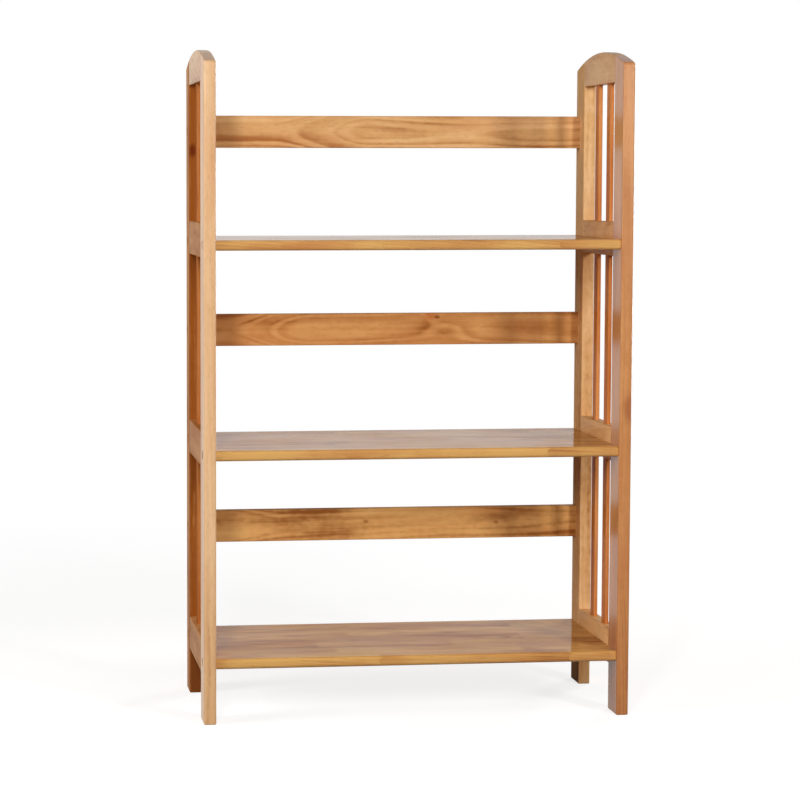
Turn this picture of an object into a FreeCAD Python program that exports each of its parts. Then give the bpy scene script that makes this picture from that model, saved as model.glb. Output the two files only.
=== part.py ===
"""Three-tier wooden bookcase: two slatted side frames, three shelves and three back rails.

Millimetres. +X is the right-hand side seen from the front, -Y is the front and +Z is up.
The origin is on the floor, under the middle of the bookcase.
"""

import FreeCAD
import Part
import Sketcher
import math
import os

SIZES = [
    ("overall_width", 630, "outer face to outer face of the side frames"),
    ("overall_depth", 280, "front face to back face of the posts"),
    ("crown_height", 980, "floor to the top of the arched side frames"),
    ("arch_rise", 21, "crown above the outer corners of the posts"),
    ("frame_thickness", 18, "posts and side rails, across the bookcase"),
    ("post_width", 50, "posts, front to back"),
    ("top_rail_height", 48, "arched rail, lower edge to crown"),
    ("side_rail_height", 50, "straight side rails"),
    ("side_rail_over_shelf", 24, "upper edge of a side rail above its shelf"),
    ("slat_width", 21, "side slats, front to back"),
    ("slat_thickness", 6, "side slats, across the bookcase"),
    ("slat_housing", 8, "slat end let into a rail"),
    ("tenon_length", 10, "rail tenon let into a post"),
    ("tenon_thickness", 8, "rail tenon, across the bookcase"),
    ("tenon_shoulder", 8, "rail edge to tenon"),
    ("bottom_shelf_top", 95, "floor to the lowest shelf"),
    ("shelf_pitch", 304, "shelf top to shelf top"),
    ("shelf_thickness", 15, "shelf boards"),
    ("shelf_front_setback", 4, "shelf edge behind the front of the posts"),
    ("shelf_back_inset", 1, "shelf edge inside the back of the posts"),
    ("shelf_nose_radius", 5, "rounded front edge of a shelf"),
    ("back_rail_height", 49, "back rails"),
    ("back_rail_thickness", 16, "back rails, front to back"),
    ("back_rail_lift", 135, "shelf top to the lower edge of its back rail"),
    ("back_rail_inset", 9, "back rail inside the back of the posts"),
    ("bolt_diameter", 6, "connector bolt shank"),
    ("bolt_head_diameter", 12, "connector bolt head"),
    ("bolt_head_height", 3, "connector bolt head"),
    ("bolt_head_recess", 1, "bolt head below the face of the post"),
    ("bolt_head_chamfer", 0.6, "rim of the bolt head"),
    ("bolt_socket_width", 4, "hexagon socket across its flats"),
    ("bolt_socket_depth", 2, "hexagon socket"),
    ("bolt_tip", 1, "bolt past its barrel nut"),
    ("nut_diameter", 10, "barrel nut"),
    ("nut_length", 10, "barrel nut"),
    ("nut_chamfer", 0.5, "rims of the barrel nut"),
    ("nut_setback", 30, "barrel nut axis from the end of its board"),
    ("nut_slot_width", 1.6, "screwdriver slot in the barrel nut"),
    ("nut_slot_depth", 1.2, "screwdriver slot in the barrel nut"),
    ("dowel_diameter", 8, "wooden dowel"),
    ("dowel_length", 30, "wooden dowel"),
    ("dowel_in_frame", 11, "length of a dowel inside the side frame"),
    ("dowel_chamfer", 0.8, "ends of the dowel"),
    ("shelf_dowel_spacing", 100, "between the two dowels in a shelf end"),
    ("back_dowel_spacing", 28, "between the two dowels in a back rail end"),
    ("arch_corner_radius", 6, "outer top corner of a post"),
    ("arris_radius", 3, "outer edges of the side frames"),
    ("eased_radius", 1.5, "lightly sanded edges of the boards"),
    ("slat_edge_radius", 1.2, "edges of the slats"),
    ("foot_chamfer", 1, "lower ends of the posts"),
    ("joint_clearance", 0.1, "round a tenon, slat end, dowel or barrel nut"),
    ("bolt_clearance", 0.5, "round a bolt shank or head"),
    ("thread_clearance", 0.05, "between bolt and barrel nut"),
    ("end_gap", 0.8, "beyond the end of a tenon, slat, dowel or bolt"),
]

SIDES = {"left": -1, "right": 1}
ENDS = {"front": -1, "back": 1}
LEVELS = {"bottom": 0, "middle": 1, "top": 2}
LAST_LEVEL = max(LEVELS.values())
TOUCH = 1e-4

doc = FreeCAD.newDocument("bookcase")
sheet = doc.addObject("Spreadsheet::Sheet", "Sizes")
for row, (alias, size, meaning) in enumerate(SIZES, start=1):
    sheet.set(f"A{row}", meaning)
    sheet.set(f"B{row}", str(size))
    sheet.setAlias(f"B{row}", alias)
doc.recompute()

# Places that several pieces share, as expressions on the sheet

half_depth = "(Sizes.overall_depth / 2)"
inner_face = "(Sizes.overall_width / 2 - Sizes.frame_thickness)"
middle_of_frame = "(Sizes.frame_thickness / 2)"
bay_edge = "(Sizes.overall_depth / 2 - Sizes.post_width)"
slat_line = "((Sizes.overall_depth - 2 * Sizes.post_width + Sizes.slat_width) / 6)"
arch_radius = "((Sizes.overall_depth ^ 2 / 4 + Sizes.arch_rise ^ 2) / (2 * Sizes.arch_rise))"
arch_centre = f"(Sizes.crown_height - {arch_radius})"
arch_spring = "(Sizes.crown_height - Sizes.arch_rise)"
top_rail_bottom = "(Sizes.crown_height - Sizes.top_rail_height)"
bolt_line = "(Sizes.overall_depth / 2 - Sizes.post_width / 2)"
back_rail_line = "(Sizes.overall_depth / 2 - Sizes.back_rail_inset - Sizes.back_rail_thickness / 2)"
nut_line = f"({inner_face} - Sizes.nut_setback)"
counterbore_depth = "(Sizes.bolt_head_height + Sizes.bolt_head_recess)"
bolt_hole = "(Sizes.bolt_diameter + 2 * Sizes.bolt_clearance)"
bolt_reach = "(Sizes.nut_setback + Sizes.nut_diameter / 2 + Sizes.bolt_tip)"
bolt_length = f"(Sizes.frame_thickness - {counterbore_depth} + {bolt_reach})"
nut_hole = "(Sizes.nut_diameter + 2 * Sizes.joint_clearance)"
dowel_hole = "(Sizes.dowel_diameter + 2 * Sizes.joint_clearance)"
dowel_in_board = "(Sizes.dowel_length - Sizes.dowel_in_frame)"


def shelf_top(level):
    return f"(Sizes.bottom_shelf_top + {level} * Sizes.shelf_pitch)"


def shelf_middle(level):
    return f"({shelf_top(level)} - Sizes.shelf_thickness / 2)"


def side_rail_top(level):
    return f"({shelf_top(level)} + Sizes.side_rail_over_shelf)"


def side_rail_bottom(level):
    return f"({side_rail_top(level)} - Sizes.side_rail_height)"


def back_rail_middle(level):
    return f"({shelf_top(level)} + Sizes.back_rail_lift + Sizes.back_rail_height / 2)"


# Sketching and feature helpers

def number(expression):
    return float(sheet.evalExpression(expression))


def new_body(label):
    body = doc.addObject("PartDesign::Body", label)
    body.Label = label
    return body


def sketch_on(body, plane_role, offset="0"):
    sketch = body.newObject("Sketcher::SketchObject", f"{body.Name}_sketch")
    plane = next(item for item in body.Origin.OriginFeatures if item.Role == plane_role)
    sketch.AttachmentSupport = (plane, [""])
    sketch.MapMode = "FlatFace"
    sketch.setExpression("AttachmentOffset.Base.z", offset)
    return sketch


def pin(sketch, kind, element, point, expression):
    """Ties one coordinate of a point to the sheet."""
    constraint = Sketcher.Constraint(kind, -1, 1, element, point, number(expression))
    index = sketch.addConstraint(constraint)
    sketch.setExpression(f"Constraints[{index}]", expression)


def set_size(sketch, kind, element, expression):
    index = sketch.addConstraint(Sketcher.Constraint(kind, element, number(expression)))
    sketch.setExpression(f"Constraints[{index}]", expression)


def outline(sketch, corners):
    """Draws a closed outline of straight lines through the corners."""
    points = [FreeCAD.Vector(number(x), number(y), 0) for x, y in corners]
    first = sketch.GeometryCount
    count = len(points)
    for step in range(count):
        sketch.addGeometry(Part.LineSegment(points[step], points[(step + 1) % count]), False)
    for step, (x, y) in enumerate(corners):
        following = first + (step + 1) % count
        sketch.addConstraint(Sketcher.Constraint("Coincident", first + step, 2, following, 1))
        pin(sketch, "DistanceX", first + step, 1, x)
        pin(sketch, "DistanceY", first + step, 1, y)


def rectangle(sketch, x1, y1, x2, y2):
    outline(sketch, [(x1, y1), (x2, y1), (x2, y2), (x1, y2)])


def circle(sketch, x, y, diameter):
    centre = FreeCAD.Vector(number(x), number(y), 0)
    ring = Part.Circle(centre, FreeCAD.Vector(0, 0, 1), number(diameter) / 2)
    index = sketch.addGeometry(ring, False)
    pin(sketch, "DistanceX", index, 3, x)
    pin(sketch, "DistanceY", index, 3, y)
    set_size(sketch, "Diameter", index, diameter)


def arched_outline(sketch, low, high, bottom):
    """Draws a board from low to high, front to back, whose top follows the arch."""
    radius = number(arch_radius)
    centre = FreeCAD.Vector(0, number(arch_centre), 0)
    ends = {}
    for edge in (low, high):
        across = number(edge)
        ends[edge] = FreeCAD.Vector(across, centre.y + math.sqrt(radius ** 2 - across ** 2), 0)
    foot_low = FreeCAD.Vector(number(low), number(bottom), 0)
    foot_high = FreeCAD.Vector(number(high), number(bottom), 0)
    base = sketch.addGeometry(Part.LineSegment(foot_low, foot_high), False)
    rise = sketch.addGeometry(Part.LineSegment(foot_high, ends[high]), False)
    full = Part.Circle(centre, FreeCAD.Vector(0, 0, 1), radius)
    start = math.acos(ends[high].x / radius)
    stop = math.acos(ends[low].x / radius)
    arch = sketch.addGeometry(Part.ArcOfCircle(full, start, stop), False)
    fall = sketch.addGeometry(Part.LineSegment(ends[low], foot_low), False)
    loop = [(base, 2, rise, 1), (rise, 2, arch, 1), (arch, 2, fall, 1), (fall, 2, base, 1)]
    for join in loop:
        sketch.addConstraint(Sketcher.Constraint("Coincident", *join))
    pin(sketch, "DistanceX", base, 1, low)
    pin(sketch, "DistanceY", base, 1, bottom)
    pin(sketch, "DistanceX", base, 2, high)
    pin(sketch, "DistanceY", base, 2, bottom)
    sketch.addConstraint(Sketcher.Constraint("Vertical", rise))
    sketch.addConstraint(Sketcher.Constraint("Vertical", fall))
    pin(sketch, "DistanceX", arch, 3, "0")
    pin(sketch, "DistanceY", arch, 3, arch_centre)
    set_size(sketch, "Radius", arch, arch_radius)


def extrude(kind, body, sketch, length, reverse=False, symmetric=False):
    feature = body.newObject(f"PartDesign::{kind}", f"{body.Name}_{kind.lower()}")
    feature.Profile = sketch
    feature.setExpression("Length", length)
    feature.Reversed = reverse
    if symmetric:
        feature.SideType = "Symmetric"
    sketch.Visibility = False
    return feature


def pad(body, sketch, length, **options):
    return extrude("Pad", body, sketch, length, **options)


def pocket(body, sketch, length, **options):
    return extrude("Pocket", body, sketch, length, **options)


def turn(body, sketch, axis):
    """Turns a half profile about one axis of its sketch."""
    feature = body.newObject("PartDesign::Revolution", f"{body.Name}_turned")
    feature.Profile = sketch
    feature.ReferenceAxis = (sketch, [axis])
    sketch.Visibility = False
    return feature


def dress(kind, body, amount_name, amount, test):
    """Rounds or chamfers those edges of the body that pass the test."""
    doc.recompute()
    base = body.Tip
    edges = enumerate(base.Shape.Edges, start=1)
    chosen = [f"Edge{index}" for index, edge in edges if test(edge)]
    feature = body.newObject(f"PartDesign::{kind}", f"{body.Name}_{kind.lower()}")
    feature.Base = (base, chosen)
    feature.setExpression(amount_name, amount)
    return feature


def fillet(body, radius, test):
    return dress("Fillet", body, "Radius", radius, test)


def chamfer(body, size, test):
    return dress("Chamfer", body, "Size", size, test)


def lies_at(edge, axis, expression):
    """True where both ends of the edge have this coordinate."""
    place = number(expression)
    return all(abs(getattr(vertex, axis) - place) < TOUCH for vertex in edge.Vertexes)


def runs_along(edge, axis):
    """True where the edge is a straight line along the axis."""
    across = [name for name in "XYZ" if name != axis]
    start = edge.Vertexes[0]
    finish = edge.Vertexes[-1]
    straight = edge.Curve.TypeId == "Part::GeomLine"
    return straight and all(abs(getattr(start, name) - getattr(finish, name)) < TOUCH for name in across)


def place(item, x, y, z, spin=FreeCAD.Rotation()):
    item.Placement = FreeCAD.Placement(FreeCAD.Vector(), spin)
    item.setExpression("Placement.Base.x", x)
    item.setExpression("Placement.Base.y", y)
    item.setExpression("Placement.Base.z", z)


def facing(side):
    """Rotation that turns a piece of the right-hand frame into the left-hand frame."""
    return FreeCAD.Rotation(FreeCAD.Vector(0, 0, 1), 0 if side > 0 else 180)


# Posts: flat boards that run down as feet, their tops cut to the arch of the side frame.
# Each is drawn from its inner face outwards, with its mortises in the edge towards the bays.

def post(label, side, end):
    body = new_body(label)
    towards = side * end
    outer = f"{towards} * {half_depth}"
    bay = f"{towards} * {bay_edge}"
    low, high = (outer, bay) if towards < 0 else (bay, outer)
    board = sketch_on(body, "YZ_Plane")
    arched_outline(board, low, high, "0")
    pad(body, board, "Sizes.frame_thickness")

    def top_corner(edge):
        return runs_along(edge, "X") and lies_at(edge, "Y", outer) and not lies_at(edge, "Z", "0")

    def outer_arris(edge):
        in_face = lies_at(edge, "X", "0") or lies_at(edge, "X", "Sizes.frame_thickness")
        return in_face and not lies_at(edge, "Z", "0") and not lies_at(edge, "Y", bay)

    def bay_arris(edge):
        return runs_along(edge, "Z") and lies_at(edge, "Y", bay)

    fillet(body, "Sizes.arch_corner_radius", top_corner)
    fillet(body, "Sizes.arris_radius", outer_arris)
    fillet(body, "Sizes.eased_radius", bay_arris)
    chamfer(body, "Sizes.foot_chamfer", lambda edge: lies_at(edge, "Z", "0"))

    mortises = sketch_on(body, "YZ_Plane", middle_of_frame)
    floor = f"{towards} * ({bay_edge} + Sizes.tenon_length + Sizes.end_gap)"
    tenons = [(f"({top_rail_bottom} + Sizes.tenon_shoulder)", arch_spring)]
    for level in LEVELS.values():
        tenon_bottom = f"({side_rail_bottom(level)} + Sizes.tenon_shoulder)"
        tenon_top = f"({side_rail_top(level)} - Sizes.tenon_shoulder)"
        tenons.append((tenon_bottom, tenon_top))
    for tenon_bottom, tenon_top in tenons:
        lower = f"{tenon_bottom} - Sizes.joint_clearance"
        upper = f"{tenon_top} + Sizes.joint_clearance"
        rectangle(mortises, bay, lower, floor, upper)
    pocket(body, mortises, "Sizes.tenon_thickness + 2 * Sizes.joint_clearance", symmetric=True)

    bolts = [(f"{towards} * {bolt_line}", shelf_middle(level)) for level in LEVELS.values()]
    if end == ENDS["back"]:
        rail = f"{towards} * {back_rail_line}"
        bolts += [(rail, back_rail_middle(level)) for level in LEVELS.values()]
        dowels = sketch_on(body, "YZ_Plane")
        for level in LEVELS.values():
            for step in (-1, 1):
                height = f"{back_rail_middle(level)} + {step} * Sizes.back_dowel_spacing / 2"
                circle(dowels, rail, height, dowel_hole)
        pocket(body, dowels, "Sizes.dowel_in_frame + Sizes.end_gap", reverse=True)
    shanks = sketch_on(body, "YZ_Plane", "Sizes.frame_thickness")
    heads = sketch_on(body, "YZ_Plane", "Sizes.frame_thickness")
    for y, z in bolts:
        circle(shanks, y, z, bolt_hole)
        circle(heads, y, z, "Sizes.bolt_head_diameter + 2 * Sizes.bolt_clearance")
    pocket(body, shanks, "Sizes.frame_thickness")
    pocket(body, heads, counterbore_depth)
    place(body, f"{side} * {inner_face}", "0", "0", facing(side))
    return body


# Side rails: stub tenons at both ends, slots for the slats and sockets for the shelf dowels.

def rail_tenons(body, bottom, top):
    tenons = sketch_on(body, "YZ_Plane", middle_of_frame)
    for end in ENDS.values():
        shoulder = f"{end} * {bay_edge}"
        tip = f"{end} * ({bay_edge} + Sizes.tenon_length)"
        rectangle(tenons, shoulder, bottom, tip, top)
    pad(body, tenons, "Sizes.tenon_thickness", symmetric=True)


def slat_slots(body, ranges):
    slots = sketch_on(body, "YZ_Plane", middle_of_frame)
    for bottom, top in ranges:
        for end in ENDS.values():
            reach = "(Sizes.slat_width / 2 + Sizes.joint_clearance)"
            near = f"{end} * {slat_line} - {reach}"
            far = f"{end} * {slat_line} + {reach}"
            rectangle(slots, near, bottom, far, top)
    pocket(body, slots, "Sizes.slat_thickness + 2 * Sizes.joint_clearance", symmetric=True)


def side_rail(label, side, level):
    body = new_body(label)
    board = sketch_on(body, "YZ_Plane")
    rectangle(board, f"-1 * {bay_edge}", "0", bay_edge, "Sizes.side_rail_height")
    pad(body, board, "Sizes.frame_thickness")
    fillet(body, "Sizes.eased_radius", lambda edge: runs_along(edge, "Y"))
    rail_tenons(body, "Sizes.tenon_shoulder", "(Sizes.side_rail_height - Sizes.tenon_shoulder)")
    ranges = [("(Sizes.side_rail_height - Sizes.slat_housing)", "Sizes.side_rail_height")]
    if level > 0:
        ranges.append(("0", "(Sizes.slat_housing + Sizes.end_gap)"))
    slat_slots(body, ranges)
    sockets = sketch_on(body, "YZ_Plane")
    for end in ENDS.values():
        height = f"{shelf_middle(level)} - {side_rail_bottom(level)}"
        circle(sockets, f"{end} * Sizes.shelf_dowel_spacing / 2", height, dowel_hole)
    pocket(body, sockets, "Sizes.dowel_in_frame + Sizes.end_gap", reverse=True)
    place(body, f"{side} * {inner_face}", "0", side_rail_bottom(level), facing(side))
    return body


def top_rail(label, side):
    body = new_body(label)
    board = sketch_on(body, "YZ_Plane")
    arched_outline(board, f"-1 * {bay_edge}", bay_edge, top_rail_bottom)
    pad(body, board, "Sizes.frame_thickness")

    def arch_arris(edge):
        return edge.Curve.TypeId == "Part::GeomCircle"

    def lower_arris(edge):
        return runs_along(edge, "Y") and lies_at(edge, "Z", top_rail_bottom)

    fillet(body, "Sizes.arris_radius", arch_arris)
    fillet(body, "Sizes.eased_radius", lower_arris)
    rail_tenons(body, f"({top_rail_bottom} + Sizes.tenon_shoulder)", arch_spring)
    slot_top = f"({top_rail_bottom} + Sizes.slat_housing + Sizes.end_gap)"
    slat_slots(body, [(top_rail_bottom, slot_top)])
    place(body, f"{side} * {inner_face}", "0", "0", facing(side))
    return body


# Slats: thin upright strips whose ends are let into the rails above and below.

def slat(label, side, end, level):
    body = new_body(label)
    below = side_rail_top(level)
    above = side_rail_bottom(level + 1) if level < LAST_LEVEL else top_rail_bottom
    section = sketch_on(body, "XY_Plane")
    half_thickness = "Sizes.slat_thickness / 2"
    half_width = "Sizes.slat_width / 2"
    rectangle(section, f"-1 * {half_thickness}", f"-1 * {half_width}", half_thickness, half_width)
    pad(body, section, f"{above} - {below} + 2 * Sizes.slat_housing")
    fillet(body, "Sizes.slat_edge_radius", lambda edge: runs_along(edge, "Z"))
    x = f"{side} * ({inner_face} + {middle_of_frame})"
    place(body, x, f"{end} * {slat_line}", f"{below} - Sizes.slat_housing")
    return body


# Boards between the side frames: holes in both ends for the bolts and the dowels.

def end_holes(body, holes, depth):
    for side in SIDES.values():
        sketch = sketch_on(body, "YZ_Plane", f"{side} * {inner_face}")
        for y, z, diameter in holes:
            circle(sketch, y, z, diameter)
        pocket(body, sketch, depth, reverse=side < 0)


def shelf(label, level):
    body = new_body(label)
    front = f"-1 * ({half_depth} - Sizes.shelf_front_setback)"
    back = f"({half_depth} - Sizes.shelf_back_inset)"
    board = sketch_on(body, "XY_Plane")
    rectangle(board, f"-1 * {inner_face}", front, inner_face, back)
    pad(body, board, "Sizes.shelf_thickness")
    fillet(body, "Sizes.shelf_nose_radius", lambda edge: runs_along(edge, "X") and lies_at(edge, "Y", front))
    fillet(body, "Sizes.eased_radius", lambda edge: runs_along(edge, "X") and lies_at(edge, "Y", back))
    middle = "(Sizes.shelf_thickness / 2)"
    bolts = [(f"{end} * {bolt_line}", middle, bolt_hole) for end in ENDS.values()]
    end_holes(body, bolts, f"{bolt_reach} + Sizes.end_gap")
    spread = "Sizes.shelf_dowel_spacing / 2"
    dowels = [(f"{end} * {spread}", middle, dowel_hole) for end in ENDS.values()]
    end_holes(body, dowels, f"{dowel_in_board} + Sizes.end_gap")
    nuts = sketch_on(body, "XY_Plane")
    for side in SIDES.values():
        for end in ENDS.values():
            circle(nuts, f"{side} * {nut_line}", f"{end} * {bolt_line}", nut_hole)
    pocket(body, nuts, f"{middle} + Sizes.nut_length / 2", reverse=True)
    place(body, "0", "0", f"{shelf_top(level)} - Sizes.shelf_thickness")
    return body


def back_rail(label, level):
    body = new_body(label)
    half_height = "Sizes.back_rail_height / 2"
    half_thickness = "Sizes.back_rail_thickness / 2"
    board = sketch_on(body, "XZ_Plane")
    rectangle(board, f"-1 * {inner_face}", f"-1 * {half_height}", inner_face, half_height)
    pad(body, board, "Sizes.back_rail_thickness", symmetric=True)
    fillet(body, "Sizes.eased_radius", lambda edge: runs_along(edge, "X"))
    end_holes(body, [("0", "0", bolt_hole)], f"{bolt_reach} + Sizes.end_gap")
    spread = "Sizes.back_dowel_spacing / 2"
    dowels = [("0", f"{step} * {spread}", dowel_hole) for step in (-1, 1)]
    end_holes(body, dowels, f"{dowel_in_board} + Sizes.end_gap")
    nuts = sketch_on(body, "XZ_Plane", f"-1 * {half_thickness}")
    for side in SIDES.values():
        circle(nuts, f"{side} * {nut_line}", "0", nut_hole)
    pocket(body, nuts, f"{half_thickness} + Sizes.nut_length / 2", reverse=True)
    place(body, "0", back_rail_line, back_rail_middle(level))
    return body


# Fasteners: one pattern piece of each kind, linked wherever the bookcase has one.

def connector_bolt():
    """Bolt along X, its head outwards from the seat at x = 0."""
    body = new_body("connector_bolt")
    head = "(Sizes.bolt_head_diameter / 2)"
    rim = "(Sizes.bolt_head_height - Sizes.bolt_head_chamfer)"
    profile = sketch_on(body, "XY_Plane")
    outline(profile, [
        (f"-1 * {bolt_length}", "0"),
        ("Sizes.bolt_head_height", "0"),
        ("Sizes.bolt_head_height", f"{head} - Sizes.bolt_head_chamfer"),
        (rim, head),
        ("0", head),
        ("0", "Sizes.bolt_diameter / 2"),
        (f"-1 * {bolt_length}", "Sizes.bolt_diameter / 2"),
    ])
    turn(body, profile, "H_Axis")
    socket = sketch_on(body, "YZ_Plane", "Sizes.bolt_head_height")
    corners = []
    for step in range(6):
        angle = math.radians(60 * step)
        across = f"Sizes.bolt_socket_width * {math.cos(angle) / math.sqrt(3)}"
        upward = f"Sizes.bolt_socket_width * {math.sin(angle) / math.sqrt(3)}"
        corners.append((across, upward))
    outline(socket, corners)
    pocket(body, socket, "Sizes.bolt_socket_depth")
    return body


def barrel_nut():
    """Cross-drilled barrel along Z, its screwdriver slot in the lower end."""
    body = new_body("barrel_nut")
    radius = "(Sizes.nut_diameter / 2)"
    half = "(Sizes.nut_length / 2)"
    profile = sketch_on(body, "XZ_Plane")
    outline(profile, [
        ("0", f"-1 * {half}"),
        (f"{radius} - Sizes.nut_chamfer", f"-1 * {half}"),
        (radius, f"-1 * ({half} - Sizes.nut_chamfer)"),
        (radius, f"{half} - Sizes.nut_chamfer"),
        (f"{radius} - Sizes.nut_chamfer", half),
        ("0", half),
    ])
    turn(body, profile, "V_Axis")
    thread = sketch_on(body, "YZ_Plane")
    circle(thread, "0", "0", "Sizes.bolt_diameter + 2 * Sizes.thread_clearance")
    pocket(body, thread, "2 * Sizes.nut_diameter", symmetric=True)
    slot = sketch_on(body, "XY_Plane", f"-1 * {half}")
    half_slot = "Sizes.nut_slot_width / 2"
    rectangle(slot, "-1 * Sizes.nut_diameter", f"-1 * {half_slot}", "Sizes.nut_diameter", half_slot)
    pocket(body, slot, "Sizes.nut_slot_depth", reverse=True)
    return body


def dowel():
    """Dowel along X, across the joint face at x = 0."""
    body = new_body("dowel")
    radius = "(Sizes.dowel_diameter / 2)"
    inner_end = f"-1 * {dowel_in_board}"
    profile = sketch_on(body, "XY_Plane")
    outline(profile, [
        (inner_end, "0"),
        ("Sizes.dowel_in_frame", "0"),
        ("Sizes.dowel_in_frame", f"{radius} - Sizes.dowel_chamfer"),
        ("Sizes.dowel_in_frame - Sizes.dowel_chamfer", radius),
        (f"{inner_end} + Sizes.dowel_chamfer", radius),
        (inner_end, f"{radius} - Sizes.dowel_chamfer"),
    ])
    turn(body, profile, "H_Axis")
    return body


def group_of(label, pattern, places):
    links = []
    for x, y, z, spin in places:
        link = doc.addObject("App::Link", f"{label}_link")
        link.LinkedObject = pattern
        place(link, x, y, z, spin)
        links.append(link)
    group = doc.addObject("Part::Compound", label)
    group.Label = label
    group.Links = links
    return group


# The bookcase, put together

pieces = []
for side_name, side in SIDES.items():
    for end_name, end in ENDS.items():
        pieces.append(post(f"{side_name}_{end_name}_post", side, end))
    pieces.append(top_rail(f"{side_name}_top_rail", side))
    for level_name, level in LEVELS.items():
        pieces.append(side_rail(f"{side_name}_{level_name}_side_rail", side, level))
        for end_name, end in ENDS.items():
            pieces.append(slat(f"{side_name}_{level_name}_{end_name}_slat", side, end, level))

for level_name, level in LEVELS.items():
    pieces.append(shelf(f"{level_name}_shelf", level))
    pieces.append(back_rail(f"{level_name}_back_rail", level))

bolt_seat = f"(Sizes.overall_width / 2 - {counterbore_depth})"
upright = FreeCAD.Rotation()
lying_back = FreeCAD.Rotation(FreeCAD.Vector(1, 0, 0), 90)
fasteners = {
    "shelf_bolts": [],
    "shelf_barrel_nuts": [],
    "shelf_dowels": [],
    "back_rail_bolts": [],
    "back_rail_barrel_nuts": [],
    "back_rail_dowels": [],
}
for side in SIDES.values():
    spin = facing(side)
    seat = f"{side} * {bolt_seat}"
    nut = f"{side} * {nut_line}"
    joint = f"{side} * {inner_face}"
    for level in LEVELS.values():
        for end in ENDS.values():
            y = f"{end} * {bolt_line}"
            fasteners["shelf_bolts"].append((seat, y, shelf_middle(level), spin))
            fasteners["shelf_barrel_nuts"].append((nut, y, shelf_middle(level), upright))
            spread = f"{end} * Sizes.shelf_dowel_spacing / 2"
            fasteners["shelf_dowels"].append((joint, spread, shelf_middle(level), spin))
        rail = back_rail_middle(level)
        fasteners["back_rail_bolts"].append((seat, back_rail_line, rail, spin))
        fasteners["back_rail_barrel_nuts"].append((nut, back_rail_line, rail, lying_back))
        for step in (-1, 1):
            height = f"{rail} + {step} * Sizes.back_dowel_spacing / 2"
            fasteners["back_rail_dowels"].append((joint, back_rail_line, height, spin))

patterns = {"bolts": connector_bolt(), "nuts": barrel_nut(), "dowels": dowel()}
for label, places in fasteners.items():
    kind = label.split("_")[-1]
    pieces.append(group_of(label, patterns[kind], places))

doc.recompute()

for item in doc.Objects:
    if "Invalid" in item.State or "Error" in item.State:
        raise RuntimeError(f"{item.Label} failed: {item.State}")
for piece in pieces:
    if piece.Shape.isNull() or not piece.Shape.isValid():
        raise RuntimeError(f"{piece.Label} has no valid shape")

os.makedirs("parts", exist_ok=True)
for piece in pieces:
    piece.Shape.exportStep(f"parts/{piece.Label}.step")
    print(piece.Label, len(piece.Shape.Solids), "solids", round(piece.Shape.Volume), "mm3")
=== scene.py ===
import math
import bpy
from mathutils import Euler, Matrix, Vector


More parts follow.
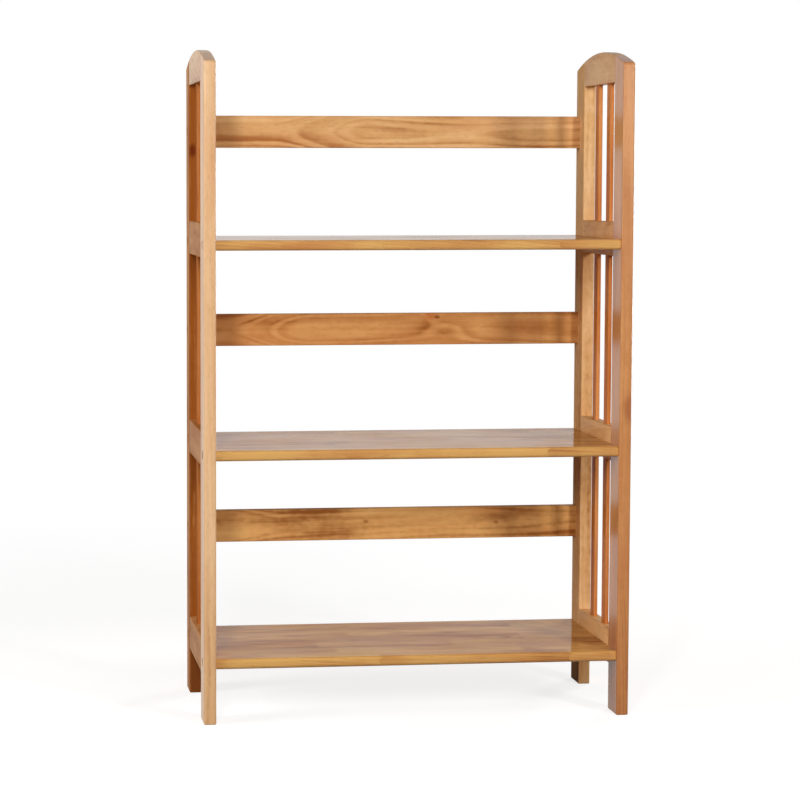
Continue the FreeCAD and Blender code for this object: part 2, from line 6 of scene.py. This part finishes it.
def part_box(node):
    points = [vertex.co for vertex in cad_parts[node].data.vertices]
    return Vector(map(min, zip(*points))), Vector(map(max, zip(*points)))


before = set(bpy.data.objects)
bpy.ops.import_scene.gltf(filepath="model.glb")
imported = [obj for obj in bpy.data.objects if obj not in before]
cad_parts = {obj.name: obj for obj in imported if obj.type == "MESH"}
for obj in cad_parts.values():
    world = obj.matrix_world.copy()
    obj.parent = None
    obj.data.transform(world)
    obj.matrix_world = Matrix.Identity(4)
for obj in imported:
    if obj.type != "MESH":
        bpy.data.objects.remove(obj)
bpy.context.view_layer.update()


# The posts: four flat hardwood boards, one at each corner, that run down past the rails as feet.
# Each is planed, mortised for the rails, rounded on its long arrises and sawn to the arch at the top,
# and the glued frames are stained honey and finished with clear gloss lacquer.
class Finish:
    """A value or colour over a piece's surface: one socket in the node tree of its material."""

    def __init__(self, tree, socket):
        self.tree = tree
        self.socket = socket

    def node(self, kind, settings, inputs, output=0):
        """Adds a node of this kind, sets it up, feeds its sockets and gives back one output."""
        made = self.tree.nodes.new(kind)
        for name, value in settings.items():
            setattr(made, name, value)
        for name, value in inputs.items():
            if isinstance(value, Finish):
                self.tree.links.new(value.socket, made.inputs[name])
            else:
                made.inputs[name].default_value = value
        return Finish(self.tree, made.outputs[output] if made.outputs else None)

    def maths(self, operation, *others):
        """A Math node on this value and the others."""
        numbers = dict(enumerate((self, *others)))
        return self.node("ShaderNodeMath", {"operation": operation}, numbers)

    def __add__(self, other):
        return self.maths("ADD", other)

    def __sub__(self, other):
        return self.maths("SUBTRACT", other)

    def __rsub__(self, other):
        return self.node("ShaderNodeMath", {"operation": "SUBTRACT"}, {0: other, 1: self})

    def __mul__(self, other):
        return self.maths("MULTIPLY", other)

    def __truediv__(self, other):
        return self.maths("DIVIDE", other)

    def __pow__(self, other):
        return self.maths("POWER", other)

    __radd__ = __add__
    __rmul__ = __mul__

    def part(self, axis):
        """One of the three numbers of a vector or a colour."""
        return self.node("ShaderNodeSeparateXYZ", {}, {"Vector": self}, axis)

    def eased(self, start, end):
        """Goes smoothly from 0 to 1 as this value goes from start to end."""
        inputs = {"Value": self, "From Min": start, "From Max": end}
        return self.node("ShaderNodeMapRange", {"interpolation_type": "SMOOTHSTEP"}, inputs)

    def between(self, first, second):
        """The first colour where this value is 0, and the second where it is 1."""
        factor, first_colour, second_colour, mixed_colour = 0, 6, 7, 2
        inputs = {factor: self, first_colour: first, second_colour: second}
        return self.node("ShaderNodeMix", {"data_type": "RGBA"}, inputs, mixed_colour)

    def choosing(self, first, second):
        """The first shader where this value is 0, and the second where it is 1."""
        factor, first_shader, second_shader = 0, 1, 2
        inputs = {factor: self, first_shader: first, second_shader: second}
        return self.node("ShaderNodeMixShader", {}, inputs)

    def cloud(self, along, across, seed, detail=2.0, output="Fac"):
        """Noise on this vector, with about that many patches to a metre along and across the grain."""
        scales = {0: self, 1: (along, across, across)}
        stretched = self.node("ShaderNodeVectorMath", {"operation": "MULTIPLY"}, scales)
        inputs = {"Vector": stretched, "W": seed, "Scale": 1.0, "Detail": detail}
        return self.node("ShaderNodeTexNoise", {"noise_dimensions": "4D"}, inputs, output)

    def swing(self, amount):
        """Noise, which lies about one half, as a swing of this amount about 0."""
        return (self - 0.5) * amount

    def bumped(self, strength, depth):
        """The normal of a surface that has this value for its relief."""
        inputs = {"Strength": strength, "Distance": depth, "Height": self}
        return self.node("ShaderNodeBump", {}, inputs)


def stain(red, green, blue):
    """A colour as it shows on a screen, 0 to 255, in the linear light that the shader takes."""
    shown = [c / 255 for c in (red, green, blue)]
    return (*[c / 12.92 if c <= 0.04045 else ((c + 0.055) / 1.055) ** 2.4 for c in shown], 1.0)


def new_finish(name):
    """An empty material, and the Object coordinates in it."""
    material = bpy.data.materials.new(name)
    material.use_nodes = True
    material.node_tree.nodes.clear()
    start = Finish(material.node_tree, None)
    return material, start.node("ShaderNodeTexCoord", {}, {}, "Object")


def lay_grain(point, piece, turn):
    """Turns a board so that X runs along its grain, Y across its face and Z through it."""
    low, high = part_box(piece)
    spin = Euler([math.radians(angle) for angle in turn])
    middle = spin.to_matrix() @ ((low + high) / 2)
    half = spin.to_matrix() @ ((high - low) / 2)
    inputs = {"Vector": point, "Location": tuple(-middle), "Rotation": tuple(spin)}
    return point.node("ShaderNodeMapping", {}, inputs), [abs(h) for h in half]


def growth_rings(board, pith, ring, lean, seed, flames=(), swirls=()):
    """The rings of the log that a board was sawn from, 1 in the late wood, and coordinates along them.

    The pith lies off the board's middle, across and through it, and the rings lean along the board.
    A flame is a step in the rings, and a swirl is a bulge in them.
    """
    sway = 0.018
    uneven_patches = 70
    unevenness = 2.2
    late_sharpness = 1.5
    faintest = 0.25
    wander = board.cloud(2.6, 9.0, seed, 2.0, "Color")
    along = board.part("X")
    across = board.part("Y") - pith[0] + wander.part("X").swing(sway)
    through = board.part("Z") - pith[1] + wander.part("Y").swing(sway)
    radius = (across * across + through * through).maths("SQRT") + along * lean
    for flame in flames:
        radius = radius + along.eased(flame["start"], flame["end"]) * flame["rise"]
    for swirl in swirls:
        reach_along = (along - swirl["middle"]) / swirl["length"]
        reach_across = (board.part("Y") - swirl["height"]) / swirl["width"]
        swell = (reach_along * reach_along + reach_across * reach_across) * -1
        radius = radius + swell.maths("EXPONENT") * swirl["rise"]
    flow = board.node("ShaderNodeCombineXYZ", {}, {"X": along, "Y": across, "Z": through})
    inputs = {"W": radius * uneven_patches + seed, "Scale": 1.0, "Detail": 2.0}
    uneven = board.node("ShaderNodeTexNoise", {"noise_dimensions": "1D"}, inputs)
    turns = radius / ring + uneven * unevenness
    late = ((turns * (2 * math.pi)).maths("SINE") * 0.5 + 0.5) ** late_sharpness
    bold = board.cloud(5.0, 22.0, seed + 6.4, 1.0).eased(0.3, 0.65)
    return flow, late * (bold * (1 - faintest) + faintest)


def fine_grain(flow, seed):
    """What shows close to: the fibres, the streaks that they run in, and the open pores."""
    fibre = flow.cloud(9.0, 420.0, seed + 5.7, 3.0)
    streak = flow.cloud(2.2, 120.0, seed + 8.3, 3.0)
    pores = flow.cloud(70.0, 1500.0, seed + 1.9, 1.0).eased(0.62, 0.74)
    return fibre, streak, pores


def stained(figure, blush, tones):
    """The colour of the wood: from pale to deep with its figure, and russet where it blushes."""
    pale, honey, russet, deep = tones
    colour = figure.eased(-0.05, 0.5).between(pale, honey)
    colour = blush.between(colour, russet)
    return figure.eased(0.4, 1.1).between(colour, deep)


def worn_arrises(board, half, reach, seed):
    """1 where an arris is rubbed, in patches that reach this far from it."""
    end, edge, face = [size - board.part(axis).maths("ABSOLUTE") for size, axis in zip(half, "XYZ")]
    nearer = end.maths("MINIMUM", edge)
    farther = end.maths("MAXIMUM", edge)
    from_arris = nearer.maths("MAXIMUM", farther.maths("MINIMUM", face))
    rubbed = 1 - from_arris.eased(0.0, reach)
    return rubbed * board.cloud(40.0, 90.0, seed + 2.2, 3.0).eased(0.35, 0.75)


def aged(colour, pores, worn, fading, pale):
    """Stain gathers in the open pores, and fades on the worn arrises."""
    colour = (pores * 0.4).between(colour, stain(120, 68, 30))
    return (worn * fading).between(colour, pale)


def dress(piece, material, look):
    """Gives a piece of the bookcase its finish: look holds the sockets of the surface."""
    surface = look["Base Color"].node("ShaderNodeBsdfPrincipled", {}, look)
    surface.node("ShaderNodeOutputMaterial", {}, {"Surface": surface})
    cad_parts[piece].data.materials.clear()
    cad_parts[piece].data.materials.append(material)


def lacquer(piece, material, colour, fibre, pores, worn, gloss, haze=0.09):
    """Clear gloss lacquer over stained wood: the fibres show through, and it is thin on the arrises."""
    wood_roughness = 0.34
    relief = fibre * 0.5 - pores
    look = {
        "Base Color": colour,
        "Roughness": fibre * 0.16 + pores * 0.1 + worn * 0.12 + wood_roughness,
        "IOR": 1.5,
        "Specular IOR Level": 0.0,
        "Coat Weight": gloss - fibre * 0.06 - pores * 0.1 - worn * 0.2,
        "Coat Roughness": haze,
        "Normal": relief.bumped(strength=0.25, depth=0.0003),
    }
    dress(piece, material, look)


def lacquered_wood(piece, lie, tones, figured, pith, ring, lean, seed, gloss, haze=0.09, mottled=0.4,
                   flames=(), swirls=(), heartwood_and_painted_light=(), knots=()):
    """One board's own wood, with its tones from pale to deep.

    Its lie is the turn that brings its grain to X, and the axis that the grain has in the bookcase.
    Each band makes it deeper, or paler below 0, and fades from where it is full to where there is none:
    some bands are heartwood, and some are painted sheen or painted shade.
    """
    plain_figure = 0.22
    knot_squeeze = 0.7
    worn_reach = 0.004
    turn, grain = lie
    pale, deep = tones[0], tones[-1]
    material, point = new_finish(piece + "_wood")
    board, half = lay_grain(point, piece, turn)
    flow, late = growth_rings(board, pith, ring, lean, seed, flames, swirls)
    fibre, streak, pores = fine_grain(flow, seed)
    drift = board.cloud(5.0, 26.0, seed + 3.1, 3.0)
    blush = board.cloud(7.0, 34.0, seed + 11.3).eased(0.45, 0.75)
    mottle = board.cloud(90.0, 150.0, seed + 14.2)
    figure = late * figured + drift.swing(2.2) + mottle.swing(mottled) + plain_figure
    figure = figure + streak.swing(0.7) + fibre.swing(0.35)
    # Tone bands along the board: heartwood, and on some boards painted sheen or painted shade in the
    # wood's colour.
    for tone_band in heartwood_and_painted_light:
        faded = board.part(tone_band["axis"]).eased(tone_band["full"], tone_band["none"])
        figure = figure + (1 - faded) * tone_band["deeper"]
    colour = stained(figure, blush * 0.65, tones)
    for knot in knots:
        size = knot["size"]
        along = (board.part("X") - knot["middle"]) * knot_squeeze
        across = board.part("Y") - knot["height"]
        through = board.part("Z") - knot["depth"]
        away = (along * along + across * across + through * through).maths("SQRT")
        inside = 1 - (away + streak.swing(size)).eased(size * 0.3, size * 1.3)
        colour = (inside * knot["strength"]).between(colour, knot["core"])
    normal = point.node("ShaderNodeTexCoord", {}, {}, "Normal")
    end_grain = normal.part(grain).maths("ABSOLUTE").eased(0.6, 0.95)
    colour = (end_grain * 0.7).between(colour, deep)
    worn = worn_arrises(board, half, worn_reach, seed)
    colour = aged(colour, pores, worn, 0.25, pale)
    lacquer(piece, material, colour, fibre, pores, worn, gloss, haze)


upright = ((0, 90, 0), "Z")

pale_post = (stain(229, 187, 142), stain(217, 171, 122), stain(217, 161, 114), stain(186, 131, 80))
# The upper post turns paler: a painted sheen, the lamps' white sheen on the lacquer put into the wood's
# colour. The very top turns deeper again.
painted_sheen_and_dark_top = (dict(axis="X", full=0.30, none=0.12, deeper=-0.26),
             dict(axis="X", full=0.47, none=0.36, deeper=0.2))
lacquered_wood("left_front_post", upright, pale_post, figured=0.25, pith=(0.09, 0.05), ring=0.0046,
               lean=0.010, seed=1.0, gloss=0.8, haze=0.3, heartwood_and_painted_light=painted_sheen_and_dark_top)

# The left back post takes darker tones, partly the wood's own tone and partly painted shade for the
# shade inside the left frame. Its front edge turns deeper still: a painted shadow of the front post,
# which stands in front of it.
dark_post_and_painted_shade = (stain(214, 153, 93), stain(198, 133, 74), stain(186, 115, 58), stain(148, 80, 29))
painted_shadow_edge = (dict(axis="Y", full=-0.027, none=-0.008, deeper=1.0),)
edge_knot = (dict(middle=0.348, height=-0.025, depth=0.004, size=0.0075, strength=0.9,
                  core=stain(104, 36, 10)),)
lacquered_wood("left_back_post", upright, dark_post_and_painted_shade, figured=0.25, pith=(-0.07, 0.06), ring=0.0050,
               lean=-0.012, seed=2.0, gloss=0.14, heartwood_and_painted_light=painted_shadow_edge, knots=edge_knot)

brown_post = (stain(202, 140, 82), stain(186, 121, 64), stain(178, 105, 54), stain(149, 86, 36))
# The first band darkens the foot, painted shade of the light falling off near the floor; the second
# turns the top paler, a painted sheen of the lamps on the lacquer; the other two make a darker band
# across the middle.
brown_bands_and_painted_light = (dict(axis="X", full=-0.45, none=-0.20, deeper=0.45),
               dict(axis="X", full=0.47, none=0.22, deeper=-0.25),
               dict(axis="X", full=0.10, none=0.24, deeper=0.2),
               dict(axis="X", full=0.0, none=0.06, deeper=-0.2))
edge_mark = (dict(middle=-0.030, height=-0.025, depth=-0.010, size=0.015, strength=0.85,
                  core=stain(158, 88, 36)),)
lacquered_wood("right_front_post", upright, brown_post, figured=0.25, pith=(-0.08, 0.04), ring=0.0044,
               lean=0.014, seed=3.0, gloss=0.9, haze=0.3, heartwood_and_painted_light=brown_bands_and_painted_light, knots=edge_mark)

honey_post = (stain(238, 194, 141), stain(223, 173, 117), stain(216, 155, 101), stain(182, 122, 68))
# The upper post turns paler: a painted sheen, the lamps' white sheen on the lacquer put into the wood's
# colour.
honey_painted_sheen = (dict(axis="X", full=0.47, none=0.15, deeper=-0.18),)
lacquered_wood("right_back_post", upright, honey_post, figured=0.25, pith=(0.06, -0.05), ring=0.0052,
               lean=-0.016, seed=4.0, gloss=0.06, mottled=1.0, heartwood_and_painted_light=honey_painted_sheen)


# The top rails: one short board across the head of each side frame, sawn to the arch of the posts.
# The same hardwood as the posts, tenoned and glued between them, with its arrises rounded.
front_to_back = ((-90, -90, 0), "Y")
top_rail_tones = (stain(233, 189, 134), stain(217, 166, 110), stain(211, 150, 97), stain(179, 118, 66))
lacquered_wood("left_top_rail", front_to_back, top_rail_tones, figured=0.3, pith=(0.01, 0.045),
               ring=0.0050, lean=0.10, seed=5.0, gloss=0.45)
lacquered_wood("right_top_rail", front_to_back, top_rail_tones, figured=0.3, pith=(-0.01, 0.05),
               ring=0.0048, lean=-0.09, seed=6.0, gloss=0.3)


# The side rails: three short boards across each side frame, one level with each shelf.
# They are of the same hardwood, tenoned and glued into the posts, and slotted for the slats.
# The left tones are a darker copy of the right's: painted shade on the left side of the bookcase.
side_rail_tones_left_shaded = {
    "left": (stain(208, 152, 96), stain(191, 131, 76), stain(183, 115, 63), stain(151, 92, 46)),
    "right": (stain(234, 186, 128), stain(217, 163, 103), stain(209, 147, 90), stain(176, 115, 62)),
}
side_rail_pith_spread = 0.012
side_rail_pith_depth = 0.04
steepest_lean = 0.09
side_rail_seed = 10.0
for side in ("left", "right"):
    for level in ("bottom", "middle", "top"):
        side_rail_seed += 1.0
        # Each rail is sawn from another place in the log.
        pith_across = side_rail_pith_spread * math.sin(side_rail_seed * 2.1)
        pith_through = side_rail_pith_depth + side_rail_pith_spread * math.cos(side_rail_seed)
        lean = steepest_lean * math.sin(side_rail_seed * 1.3)
        lacquered_wood(side + "_" + level + "_side_rail", front_to_back, side_rail_tones_left_shaded[side],
                       figured=0.3, pith=(pith_across, pith_through), ring=0.0048, lean=lean,
                       seed=side_rail_seed, gloss=0.16)


# The slats: two thin upright strips in each bay of a side frame, planed and lightly rounded.
# Their ends sit in slots in the rails, dry, so that they can move with the weather.
# The left tones are a darker, redder copy of the right's: painted shade inside the left frame.
slat_tones_left_shaded = {
    "left": (stain(190, 118, 62), stain(172, 98, 44), stain(163, 86, 36), stain(132, 66, 22)),
    "right": (stain(218, 145, 85), stain(200, 122, 64), stain(190, 108, 54), stain(156, 84, 33)),
}
slat_pith_spread = 0.03
slat_pith_depth = 0.05
slat_seed = 30.0
for side in ("left", "right"):
    for level in ("bottom", "middle", "top"):
        for end in ("front", "back"):
            slat_seed += 1.0
            pith_across = slat_pith_spread * math.sin(slat_seed * 1.7)
            lacquered_wood(side + "_" + level + "_" + end + "_slat", upright, slat_tones_left_shaded[side],
                           figured=0.25, pith=(pith_across, slat_pith_depth), ring=0.0036,
                           lean=0.02, seed=slat_seed, gloss=0.12)


# The shelves: three boards the full depth of the frames, each glued up from short hardwood staves that
# are finger jointed end to end. The front edge is rounded over, and the glued board is lacquered. Each
# end is dowelled to the side rails and bolted through the posts.
def staved_board(piece, tones, seed, gloss):
    """A board of staves: each stave has its own figure and tone, and a hair line of glue round it."""
    stave_width = 0.047
    first_row_start = 0.45
    shortest_stave = 0.19
    stave_spread = 0.12
    row_stagger = 0.4
    finger_pitch = 0.004
    finger_length = 0.009
    glue_line = 0.0004
    billet_length = 3.0
    plain_figure = 0.2
    worn_reach = 0.005
    material, point = new_finish(piece + "_wood")
    board, half = lay_grain(point, piece, (0, 0, 0))
    row_place = (board.part("Y") + half[1]) / stave_width + first_row_start
    row = row_place.maths("FLOOR")
    chance = {"W": row + seed * 10}
    luck = board.node("ShaderNodeTexWhiteNoise", {"noise_dimensions": "1D"}, chance, "Color")
    stave_length = luck.part("X") * stave_spread + shortest_stave
    finger_slope = 2 * finger_length / finger_pitch
    fingers = board.part("Y").maths("PINGPONG", finger_pitch / 2) * finger_slope
    run_place = (board.part("X") + fingers + luck.part("Y") * row_stagger) / stave_length
    run = run_place.maths("FLOOR")
    cell = board.node("ShaderNodeCombineXYZ", {}, {"X": row, "Y": run, "Z": seed})
    chance = {"Vector": cell}
    stave = board.node("ShaderNodeTexWhiteNoise", {"noise_dimensions": "3D"}, chance, "Color")
    pith = (stave.part("X").swing(0.06), stave.part("Y") * 0.05 - 0.07)
    sawn_from = board.part("X") + stave.part("Z") * billet_length
    place = {"X": sawn_from, "Y": board.part("Y"), "Z": board.part("Z")}
    billet = board.node("ShaderNodeCombineXYZ", {}, place)
    centred = row_place.maths("FRACT") * stave_width - stave_width / 2
    stick = board.node("ShaderNodeCombineXYZ", {}, {**place, "Y": centred})
    flow, late = growth_rings(stick, pith, ring=0.0046, lean=0.06, seed=seed)
    fibre, streak, pores = fine_grain(flow, seed)
    drift = billet.cloud(6.0, 26.0, seed + 3.1, 3.0)
    blush = billet.cloud(9.0, 34.0, seed + 11.3).eased(0.45, 0.75)
    figure = late * 0.3 + drift.swing(2.4) + streak.swing(0.6) + fibre.swing(0.35)
    figure = figure + stave.part("Z").swing(0.8) + plain_figure
    colour = stained(figure, blush * 0.8, tones)
    row_gap = (0.5 - (row_place.maths("FRACT") - 0.5).maths("ABSOLUTE")) * stave_width
    run_gap = (0.5 - (run_place.maths("FRACT") - 0.5).maths("ABSOLUTE")) * stave_length
    seam = 1 - row_gap.maths("MINIMUM", run_gap).eased(0.0, glue_line)
    colour = (seam * 0.5).between(colour, stain(112, 62, 28))
    worn = worn_arrises(board, half, worn_reach, seed)
    colour = aged(colour, pores, worn, 0.2, tones[0])
    wavy = board.cloud(9.0, 14.0, seed + 9.6) * 0.8 + 0.6
    lacquer(piece, material, colour, fibre, pores, worn, wavy * gloss)


shelf_tones = (stain(215, 165, 92), stain(199, 143, 77), stain(190, 123, 62), stain(154, 90, 36))
staved_board("bottom_shelf", shelf_tones, seed=51.0, gloss=0.44)
staved_board("middle_shelf", shelf_tones, seed=52.0, gloss=0.55)
staved_board("top_shelf", shelf_tones, seed=53.0, gloss=0.64)


# The back rails: one flat-sawn board above each shelf, bolted and dowelled between the back posts, to
# stop books and brace the sides. The wide faces show the flames and streaks of the log's rings, and a
# few small knots.
side_to_side = ((-90, 0, 0), "X")
front_face = 0.008
knot_red = stain(186, 96, 42)
knot_dark = stain(136, 64, 20)

top_back = (stain(231, 185, 131), stain(216, 165, 109), stain(208, 146, 96), stain(171, 108, 58))
top_flame = (dict(start=-0.18, end=-0.03, rise=-0.018),)
lacquered_wood("top_back_rail", side_to_side, top_back, figured=0.6, pith=(-0.001, 0.036), ring=0.0075,
               lean=-0.004, seed=67.0, gloss=0.14, flames=top_flame)

middle_back = (stain(210, 155, 95), stain(192, 132, 76), stain(184, 115, 62), stain(144, 80, 31))
middle_flame = (dict(start=-0.26, end=-0.12, rise=-0.014),)
middle_eye = (dict(middle=0.092, height=0.0, length=0.050, width=0.016, rise=0.008),
              dict(middle=0.066, height=0.020, length=0.014, width=0.010, rise=0.004))
middle_knots = (dict(middle=0.0610, height=0.0190, depth=front_face, size=0.0070, strength=0.5,
                     core=knot_red),
                dict(middle=0.0735, height=0.0180, depth=front_face, size=0.0036, strength=0.85,
                     core=knot_dark))
lacquered_wood("middle_back_rail", side_to_side, middle_back, figured=0.5, pith=(0.002, 0.040),
               ring=0.0066, lean=-0.003, seed=62.0, gloss=0.14, flames=middle_flame,
               swirls=middle_eye, knots=middle_knots)

bottom_back = (stain(234, 190, 121), stain(218, 165, 100), stain(194, 127, 68), stain(150, 90, 40))
bottom_flame = (dict(start=-0.30, end=-0.16, rise=0.010),)
# The first band darkens the rail's left half; the second deepens its right end, painted shade added to
# the shadow that the right front post casts there.
dark_ends_and_painted_shade = (dict(axis="X", full=-0.14, none=-0.02, deeper=0.5),
             dict(axis="X", full=0.22, none=0.12, deeper=0.4))
bottom_knots = (dict(middle=-0.0376, height=0.0040, depth=front_face, size=0.0030, strength=0.6,
                     core=knot_dark),
                dict(middle=0.1690, height=0.0, depth=front_face, size=0.0026, strength=0.6,
                     core=knot_dark))
lacquered_wood("bottom_back_rail", side_to_side, bottom_back, figured=0.3, pith=(0.004, 0.045),
               ring=0.0056, lean=0.004, seed=63.0, gloss=0.14, flames=bottom_flame,
               heartwood_and_painted_light=dark_ends_and_painted_shade, knots=bottom_knots)


# The dowels: turned beech pins, pressed dry into the ends of the shelves and back rails to place them.
# Bare wood, a little paler than the lacquered boards, with the grain along the pin.
def bare_beech(piece, seed):
    """Straight-grained pale wood with the short dark flecks of beech, unlacquered."""
    material, point = new_finish(piece + "_wood")
    fibre = point.cloud(12.0, 500.0, seed, 3.0)
    flecks = point.cloud(160.0, 900.0, seed + 4.0, 1.0).eased(0.6, 0.7)
    colour = fibre.eased(0.3, 0.7).between(stain(222, 184, 138), stain(196, 150, 102))
    colour = (flecks * 0.5).between(colour, stain(150, 98, 56))
    relief = fibre - flecks
    look = {
        "Base Color": colour,
        "Roughness": fibre * 0.2 + 0.55,
        "Normal": relief.bumped(strength=0.3, depth=0.0002),
    }
    dress(piece, material, look)


bare_beech("shelf_dowels", seed=71.0)
bare_beech("back_rail_dowels", seed=72.0)


# The connector bolts: steel bolts with a low round head and a hexagon socket, bronzed dark.
# They pass through the posts, the heads sunk just below the face, into barrel nuts in the boards.
def metal(piece, base, bright, rough, rubbed_patches, seed):
    """Plated or bronzed steel: the colour thins to bright metal in fine rubbed patches."""
    material, point = new_finish(piece + "_metal")
    rubbed = point.cloud(rubbed_patches, rubbed_patches, seed, 4.0).eased(0.52, 0.8)
    brushed = point.cloud(300.0, 2600.0, seed + 2.0)
    look = {
        "Base Color": (rubbed * 0.7).between(base, bright),
        "Metallic": 1.0,
        "Roughness": brushed * 0.25 + rough - rubbed * 0.1,
        "Normal": brushed.bumped(strength=0.15, depth=0.0001),
    }
    dress(piece, material, look)


bronze = (stain(74, 52, 36), stain(150, 118, 84))
metal("shelf_bolts", *bronze, rough=0.32, rubbed_patches=420.0, seed=81.0)
metal("back_rail_bolts", *bronze, rough=0.32, rubbed_patches=420.0, seed=82.0)


# The barrel nuts: short cross-drilled steel pins with a screwdriver slot, zinc plated.
# They lie in bores in the undersides of the shelves and the backs of the back rails.
zinc = (stain(186, 188, 186), stain(214, 214, 208))
metal("shelf_barrel_nuts", *zinc, rough=0.24, rubbed_patches=300.0, seed=83.0)
metal("back_rail_barrel_nuts", *zinc, rough=0.24, rubbed_patches=300.0, seed=84.0)


# The studio: a plain pale floor that runs on to a white background, and keeps the object's shadow.
# Soft boxes stand left and right of the camera, with a broad one between them, one lights the left
# side, and a low one behind lights the back.
def seen_directly(start):
    """1 in what the camera, a gloss or a clear surface sees, and 0 in what lights the object."""
    rays = [start.node("ShaderNodeLightPath", {}, {}, "Is " + ray + " Ray")
            for ray in ("Camera", "Glossy", "Transmission")]
    return (rays[0] + rays[1] + rays[2]).maths("MINIMUM", 1.0)


white = {"Color": (1, 1, 1, 1), "Strength": 1.0}
warm_bounce = (0.20, 0.17, 0.13, 1)
shadow_grey = (0.40, 0.40, 0.40, 1)
shadow_glow = 0.77
shadow_fades_from = 0.7
shadow_gone_at = 2.2
floor_size = 60.0
bpy.ops.object.select_all(action="DESELECT")
bpy.ops.mesh.primitive_plane_add(size=floor_size, location=(0, 0, 0))
floor = bpy.context.object
floor.name = "studio_floor"
floor_paint, floor_point = new_finish("studio_floor_paint")
bounce = floor_point.node("ShaderNodeBsdfDiffuse", {}, {"Color": warm_bounce})
shaded = floor_point.node("ShaderNodeBsdfDiffuse", {}, {"Color": shadow_grey})
glow = floor_point.node("ShaderNodeEmission", {}, {**white, "Strength": shadow_glow})
near = floor_point.node("ShaderNodeAddShader", {}, {0: shaded, 1: glow})
beyond = floor_point.node("ShaderNodeEmission", {}, white)
reach = floor_point.node("ShaderNodeVectorMath", {"operation": "LENGTH"}, {0: floor_point}, "Value")
pale_floor = reach.eased(shadow_fades_from, shadow_gone_at).choosing(near, beyond)
floor_look = seen_directly(floor_point).choosing(bounce, pale_floor)
floor_look.node("ShaderNodeOutputMaterial", {}, {"Surface": floor_look})
floor.data.materials.append(floor_paint)

room = bpy.data.worlds.new("studio_room")
bpy.context.scene.world = room
room.use_nodes = True
room.node_tree.nodes.clear()
room_start = Finish(room.node_tree, None)
warm_fill = {"Color": (1.0, 0.86, 0.70, 1), "Strength": 0.06}
fill = room_start.node("ShaderNodeBackground", {}, warm_fill)
backdrop = room_start.node("ShaderNodeBackground", {}, white)
room_look = seen_directly(room_start).choosing(fill, backdrop)
room_look.node("ShaderNodeOutputWorld", {}, {"Surface": room_look})


def soft_box(name, place, width, height, power, mirrored=True):
    """A rectangular lamp that faces the middle of the bookcase. Its lacquer shows it if mirrored."""
    bookcase_middle = Vector((0, 0, 0.5))
    lamp = bpy.data.lights.new(name, "AREA")
    lamp.shape = "RECTANGLE"
    lamp.size = width
    lamp.size_y = height
    lamp.energy = power
    box = bpy.data.objects.new(name, lamp)
    bpy.context.scene.collection.objects.link(box)
    box.location = place
    box.rotation_euler = (bookcase_middle - Vector(place)).to_track_quat("-Z", "Y").to_euler()
    box.visible_camera = False
    box.visible_glossy = mirrored


soft_box("soft_box_front", (-0.96, -2.90, 1.55), width=0.25, height=0.9, power=30.5)
soft_box("soft_box_right", (1.70, -2.85, 1.50), width=0.45, height=0.9, power=46.0)
soft_box("soft_box_broad", (0.30, -3.20, 1.25), width=2.4, height=0.7, power=21.0, mirrored=False)
soft_box("soft_box_left", (-3.00, -0.80, 1.20), width=1.0, height=1.4, power=50.0)
soft_box("soft_box_back", (2.10, 2.30, 0.70), width=1.0, height=1.2, power=60.0)


# The camera stands a little left of the middle and just under the height of the top, as a buyer would,
# far enough back that the sides hardly converge, and the frame is moved across to centre the object.
camera_place = Vector((-0.6560, -3.6989, 0.7962))
camera_yaw = math.radians(6.306)
camera_pitch = math.radians(-4.415)
forward = Vector((math.sin(camera_yaw) * math.cos(camera_pitch),
                  math.cos(camera_yaw) * math.cos(camera_pitch),
                  math.sin(camera_pitch)))
right = Vector((math.cos(camera_yaw), -math.sin(camera_yaw), 0))
up = right.cross(forward)
lens = bpy.data.cameras.new("camera")
lens.sensor_width = 36.0
lens.lens = 112.38
lens.shift_x = 0.20
lens.shift_y = -0.04
camera = bpy.data.objects.new("camera", lens)
bpy.context.scene.collection.objects.link(camera)
axes = Matrix((right, up, -forward)).transposed()
camera.matrix_world = Matrix.Translation(camera_place) @ axes.to_4x4()
bpy.context.scene.camera = camera
bpy.context.scene.view_settings.view_transform = "Standard"
